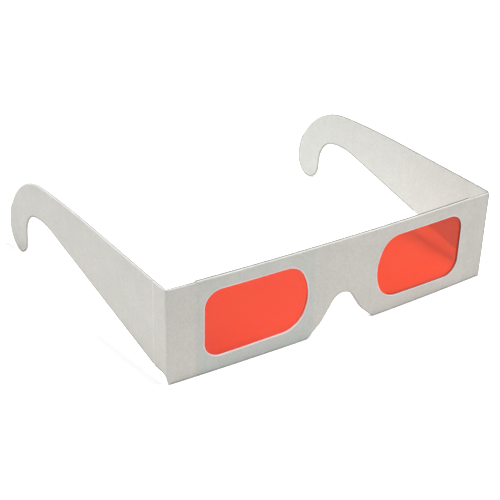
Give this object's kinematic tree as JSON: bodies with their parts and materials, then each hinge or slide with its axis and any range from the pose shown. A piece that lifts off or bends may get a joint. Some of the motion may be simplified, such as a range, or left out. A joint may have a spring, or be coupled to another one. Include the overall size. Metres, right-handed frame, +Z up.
{
  "type": "decoder glasses",
  "caption": "Folding viewing glasses cut from white board, with red film windows, a nose notch and flat side arms that end in ear hooks.",
  "frame": {"origin": "middle of the outline seen from above, at the height of the ear hooks' lowest point", "axes": "+X across the front to the wearer's left, +Y from the front back along the side arms, +Z up"},
  "size_m": [0.1548, 0.135, 0.0426],
  "materials": {
    "board": "smooth white board, matt, with soft cut edges",
    "bond": "dry clear paste between the plies",
    "film": "clear red film, glossy"
  },
  "bodies": {
    "front": {"front_panel": "board", "backing_panel": "board", "bond_layer": "bond", "right_film": "film", "left_film": "film", "right_fold": "board", "left_fold": "board"},
    "right_strip": {"right_strip": "board"},
    "left_strip": {"left_strip": "board"},
    "right_arm": {"right_arm": "board"},
    "left_arm": {"left_arm": "board"}
  },
  "joints": [
    {"name": "right_fold_hinge", "type": "hinge", "parent": "front", "child": "right_arm", "pos_m": [-0.0731, -0.06469, 0.02365], "axis": [0, 0, -1], "range_deg": [-85.5, 91.3], "deforming": ["right_fold"]},
    {"name": "right_crease_hinge", "type": "hinge", "parent": "right_arm", "child": "right_strip", "pos_m": [-0.07377, -0.05722, 0.02365], "axis": [0, 0, -1], "range_deg": [-1.56, 1.46]},
    {"name": "left_fold_hinge", "type": "hinge", "parent": "front", "child": "left_arm", "pos_m": [0.0731, -0.06469, 0.02365], "axis": [0, 0, 1], "range_deg": [-85.5, 86.8], "deforming": ["left_fold"]},
    {"name": "left_crease_hinge", "type": "hinge", "parent": "left_arm", "child": "left_strip", "pos_m": [0.07377, -0.05722, 0.02365], "axis": [0, 0, 1], "range_deg": [-1.56, 1.46]}
  ],
  "couplings": [
    {"joint": "right_crease_hinge", "follows": "right_fold_hinge", "ratio": -0.016951},
    {"joint": "left_crease_hinge", "follows": "left_fold_hinge", "ratio": -0.016951}
  ]
}
